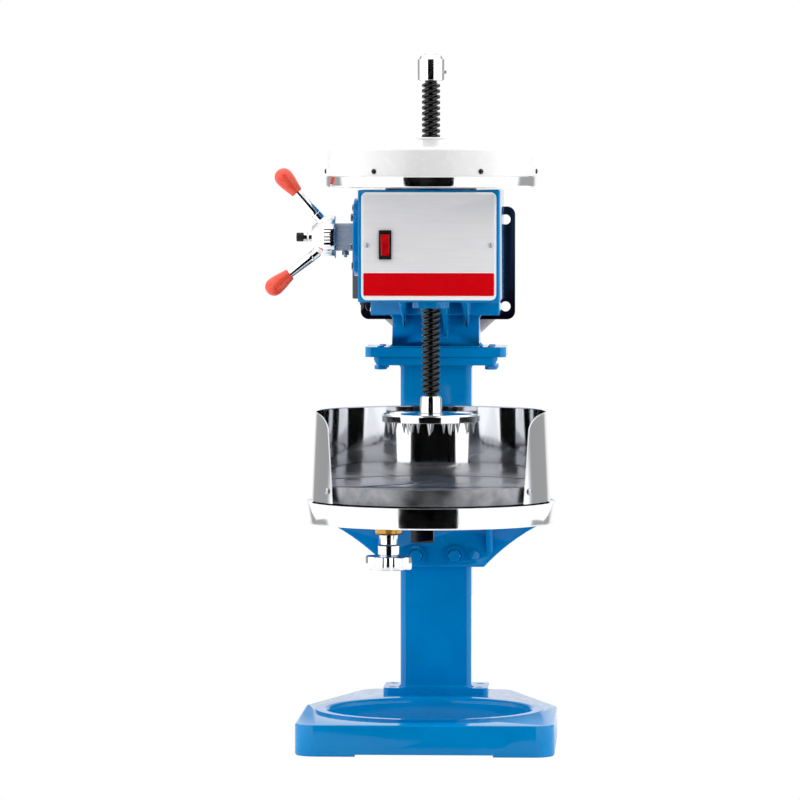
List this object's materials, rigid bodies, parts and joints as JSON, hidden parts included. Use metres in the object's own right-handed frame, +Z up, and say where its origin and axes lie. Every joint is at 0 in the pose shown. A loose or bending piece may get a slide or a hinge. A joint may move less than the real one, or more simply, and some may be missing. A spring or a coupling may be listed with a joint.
{
  "type": "block ice shaver",
  "caption": "Floor-standing cast block ice shaver: round base opening, column, pan with blade table and hood, driven press screw, feed handle, belt guard and motor.",
  "frame": {"origin": "centre of the round opening in the base, on the plane that the base rests on", "axes": "+X to the right as seen from the front panel, +Y to the back where the motor is, +Z up along the bowl opening's axis"},
  "size_m": [0.414, 0.684, 0.969],
  "materials": {
    "blue_enamel": "gloss enamel on cast iron",
    "polished_steel": "polished",
    "stainless_sheet": "bright polished sheet",
    "cast_aluminium": "turned casting",
    "brass": "turned",
    "tool_steel": "ground",
    "zinc_fasteners": "bright zinc",
    "black_oxide": "black oxide on steel",
    "black_enamel": "gloss black paint",
    "grey_enamel": "satin grey paint",
    "motor_enamel": "dark grey paint",
    "panel_white": "satin white sheet",
    "stripe_red": "gloss film",
    "black_plastic": "moulded",
    "rocker_red": "moulded, translucent",
    "knob_red": "moulded",
    "cover_white": "gloss white",
    "belt_rubber": "matt",
    "copper_iron": "laminated"
  },
  "bodies": {
    "frame": {"base_casting": "blue_enamel", "column": "blue_enamel", "foot_bolts": "blue_enamel", "pan_bracket": "blue_enamel", "bracket_bolts": "blue_enamel", "pan_ring": "polished_steel", "ice_table": "cast_aluminium", "table_screws": "zinc_fasteners", "adjuster_bridge": "cast_aluminium", "adjuster_bush": "brass", "splash_hood": "stainless_sheet", "hood_screws": "zinc_fasteners", "ice_chute": "black_enamel", "head_casting": "blue_enamel", "flange_bolts": "blue_enamel", "front_panel": "panel_white", "panel_stripe": "stripe_red", "panel_screws": "zinc_fasteners", "switch_bezel": "black_plastic", "side_flange": "blue_enamel", "side_flange_bolts": "zinc_fasteners", "handle_sleeve": "grey_enamel", "grease_nipple": "zinc_fasteners", "spindle_bearings": "tool_steel", "drive_belt": "belt_rubber", "guard_tray": "polished_steel", "guard_cover": "cover_white", "guard_screws": "black_oxide", "cover_bush": "cover_white", "motor_plate": "black_enamel", "motor_bolts": "zinc_fasteners", "motor_housing": "motor_enamel", "motor_end_bell": "motor_enamel", "motor_stator": "copper_iron", "terminal_box": "motor_enamel", "cable_gland": "black_plastic"},
    "handle": {"handle_shaft": "tool_steel", "bevel_pinion": "tool_steel", "handle_hub": "polished_steel", "levers": "polished_steel", "lever_knobs": "knob_red", "lock_stud": "polished_steel"},
    "handle_lock": {"lock_knob": "black_plastic"},
    "nut": {"feed_nut": "brass"},
    "spindle": {"spindle_sleeve": "tool_steel", "drive_key": "tool_steel", "large_pulley": "cast_aluminium"},
    "press": {"press_screw": "black_oxide", "screw_cap": "polished_steel", "cap_set_screw": "zinc_fasteners", "press_disc": "polished_steel", "disc_spikes": "polished_steel"},
    "motor": {"motor_shaft": "tool_steel", "motor_pulley": "tool_steel"},
    "adjuster": {"adjuster_stem": "polished_steel", "adjuster_collar": "polished_steel", "adjuster_knob": "polished_steel"},
    "blade_slide": {"blade_carrier": "tool_steel", "blade": "tool_steel"},
    "rocker": {"switch_rocker": "rocker_red"}
  },
  "joints": [
    {"name": "handle_turn", "type": "hinge", "parent": "frame", "child": "handle", "pos_m": [0, 0.045, 0.71], "axis": [1, 0, 0], "range_deg": [-2220, 4040]},
    {"name": "handle_lock_turn", "type": "hinge", "parent": "handle", "child": "handle_lock", "pos_m": [-0.186, 0.045, 0.71], "axis": [-1, 0, 0], "range_deg": [0, 720]},
    {"name": "nut_turn", "type": "hinge", "parent": "frame", "child": "nut", "pos_m": [0, 0.045, 0.66], "axis": [0, 0, 1], "range_deg": [-2700, 1485]},
    {"name": "spindle_spin", "type": "hinge", "parent": "frame", "child": "spindle", "pos_m": [0, 0.045, 0.78], "axis": [0, 0, 1], "continuous": true},
    {"name": "press_slide", "type": "slide", "parent": "spindle", "child": "press", "axis": [0, 0, 1], "range_m": [-0.066, 0.12]},
    {"name": "motor_spin", "type": "hinge", "parent": "frame", "child": "motor", "pos_m": [0, 0.394, 0.66], "axis": [0, 0, 1], "continuous": true},
    {"name": "adjuster_turn", "type": "hinge", "parent": "frame", "child": "adjuster", "pos_m": [-0.057, -0.01506, 0.26], "axis": [0, 0, 1], "range_deg": [-180, 180]},
    {"name": "blade_lift", "type": "slide", "parent": "frame", "child": "blade_slide", "axis": [0, 0, 1], "range_m": [-0.00075, 0.00075]},
    {"name": "rocker_tip", "type": "hinge", "parent": "frame", "child": "rocker", "pos_m": [-0.061, -0.0355, 0.7005], "axis": [1, 0, 0], "range_deg": [-16, 0]}
  ],
  "couplings": [
    {"joint": "press_slide", "follows": "handle_turn", "m_per_rad": 0.0016976},
    {"joint": "nut_turn", "follows": "handle_turn", "ratio": -0.66667},
    {"joint": "motor_spin", "follows": "spindle_spin", "ratio": 4.88},
    {"joint": "blade_lift", "follows": "adjuster_turn", "m_per_rad": 0.00023873}
  ]
}
